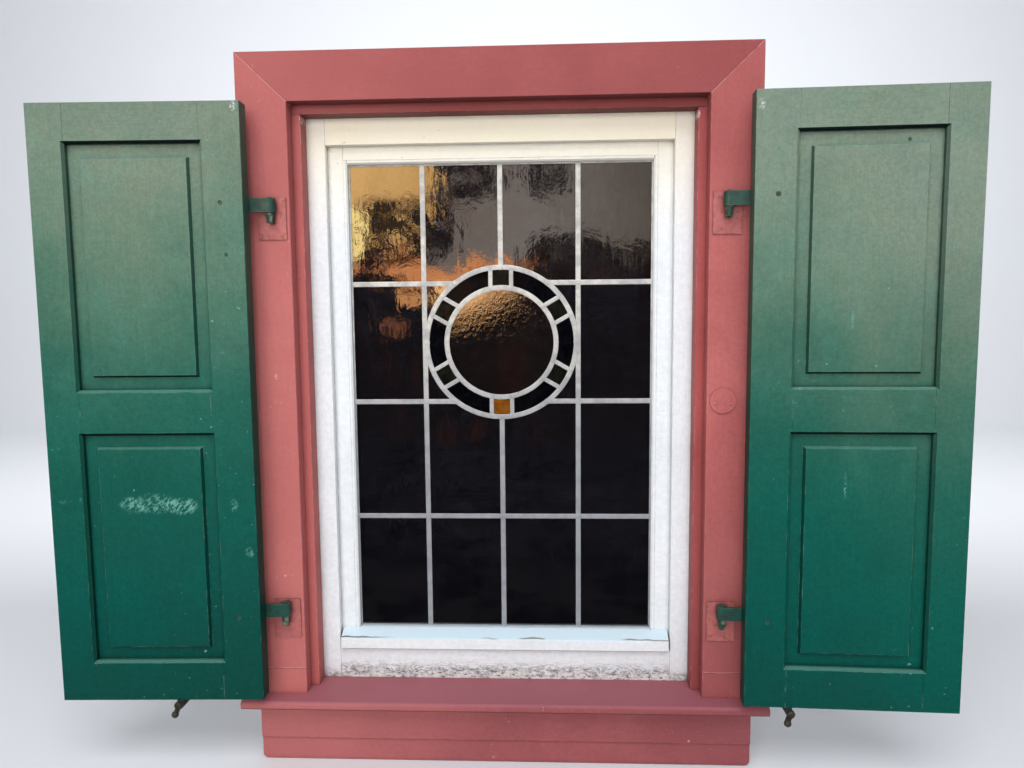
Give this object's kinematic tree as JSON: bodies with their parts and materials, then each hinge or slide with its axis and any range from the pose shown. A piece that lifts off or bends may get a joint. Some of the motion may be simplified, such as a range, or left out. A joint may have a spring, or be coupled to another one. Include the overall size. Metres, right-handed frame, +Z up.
{
  "type": "shuttered casement window",
  "caption": "Single casement window with a leaded panel and a round rosette, painted surround, sill, and a pair of open panelled shutters with their catches.",
  "frame": {"origin": "centre of the back face of the upper apron board, on the wall's outer face", "axes": "+Z up, +X to the right as seen from outside, +Y into the wall towards the room"},
  "size_m": [1.6315, 0.2528, 1.3322],
  "materials": {
    "red_paint": "worn satin red paint on wood",
    "dark_red_paint": "worn satin dark red paint on wood",
    "red_painted_iron": "iron painted over in red",
    "white_paint": "worn gloss white paint on wood",
    "green_paint": "satin green paint on wood",
    "green_iron": "iron painted over in green, worn",
    "black_iron": "weathered dark iron",
    "white_painted_iron": "gloss white painted iron",
    "brass_fittings": "dull brass",
    "lead": "weathered grey lead",
    "dark_glass": "clear antique glass in front of a dark room",
    "hammered_glass": "hammered glass",
    "olive_glass": "olive coloured glass",
    "amber_glass": "amber coloured glass"
  },
  "bodies": {
    "window_frame": {"apron_lower": "red_paint", "apron_upper": "red_paint", "casing_feet": "red_paint", "casing_head": "red_paint", "casing_jamb_left": "red_paint", "casing_jamb_right": "red_paint", "cover_plate": "red_paint", "cover_plate_screws": "red_paint", "dog_stays": "black_iron", "frame_bottom_rail": "white_paint", "frame_head": "white_paint", "frame_jamb_left": "white_paint", "frame_jamb_right": "white_paint", "hinge_frame_leaves": "white_painted_iron", "lining_head": "dark_red_paint", "lining_jamb_left": "dark_red_paint", "lining_jamb_right": "dark_red_paint", "pintles": "red_painted_iron", "rod_keeps": "white_painted_iron", "sill_board": "red_paint"},
    "left_shutter": {"left_bottom_rail": "green_paint", "left_hinge_stile": "green_paint", "left_lower_panel": "green_paint", "left_meeting_stile": "green_paint", "left_middle_rail": "green_paint", "left_strap_bolts": "green_iron", "left_straps": "green_iron", "left_top_rail": "green_paint", "left_upper_panel": "green_paint"},
    "right_shutter": {"right_bottom_rail": "green_paint", "right_hinge_stile": "green_paint", "right_lower_panel": "green_paint", "right_meeting_stile": "green_paint", "right_middle_rail": "green_paint", "right_strap_bolts": "green_iron", "right_straps": "green_iron", "right_top_rail": "green_paint", "right_upper_panel": "green_paint"},
    "sash": {"sash_top_rail": "white_paint", "sash_bottom_rail": "white_paint", "sash_stile_left": "white_paint", "sash_stile_right": "white_paint", "weather_bar": "white_paint", "glazing_beads": "white_paint", "lead_border": "lead", "lead_bars": "lead", "rosette_leads": "lead", "glass_panes": "dark_glass", "glass_arcs": "dark_glass", "glass_squares_olive": "olive_glass", "glass_square_amber": "amber_glass", "glass_roundel": "hammered_glass", "hinge_sash_leaves": "white_painted_iron", "rod_guides": "white_painted_iron", "espagnolette_case": "white_painted_iron"},
    "handle": {"handle": "brass_fittings"},
    "upper_rod": {"upper_rod": "white_painted_iron"},
    "lower_rod": {"lower_rod": "white_painted_iron"},
    "left_dog": {"dog_finger_left": "black_iron"},
    "right_dog": {"dog_finger_right": "black_iron"}
  },
  "joints": [
    {"name": "left_shutter_swing", "type": "hinge", "parent": "window_frame", "child": "left_shutter", "pos_m": [-0.409, -0.04225, 0.6], "axis": [0, 0, 1], "range_deg": [-1.9, 178.1]},
    {"name": "right_shutter_swing", "type": "hinge", "parent": "window_frame", "child": "right_shutter", "pos_m": [0.409, -0.04225, 0.6], "axis": [0, 0, -1], "range_deg": [-2.45, 177.55]},
    {"name": "sash_swing", "type": "hinge", "parent": "window_frame", "child": "sash", "pos_m": [-0.3378, 0.0995, 0.6], "axis": [0, 0, 1], "range_deg": [0, 95]},
    {"name": "handle_turn", "type": "hinge", "parent": "sash", "child": "handle", "pos_m": [0.31165, 0.11, 0.6079], "axis": [0, 1, 0], "range_deg": [0, 90]},
    {"name": "upper_rod_slide", "type": "slide", "parent": "sash", "child": "upper_rod", "axis": [0, 0, 1], "range_m": [0, 0.018]},
    {"name": "lower_rod_slide", "type": "slide", "parent": "sash", "child": "lower_rod", "axis": [0, 0, -1], "range_m": [0, 0.018]},
    {"name": "left_dog_turn", "type": "hinge", "parent": "window_frame", "child": "left_dog", "pos_m": [-0.598, -0.095, 0.0626], "axis": [0, 1, 0], "range_deg": [0, 160]},
    {"name": "right_dog_turn", "type": "hinge", "parent": "window_frame", "child": "right_dog", "pos_m": [0.5215, -0.095, 0.0626], "axis": [0, 1, 0], "range_deg": [0, 160]}
  ],
  "couplings": [
    {"joint": "handle_turn", "follows": "upper_rod_slide", "rad_per_m": 87.266},
    {"joint": "lower_rod_slide", "follows": "upper_rod_slide", "ratio": 1}
  ]
}
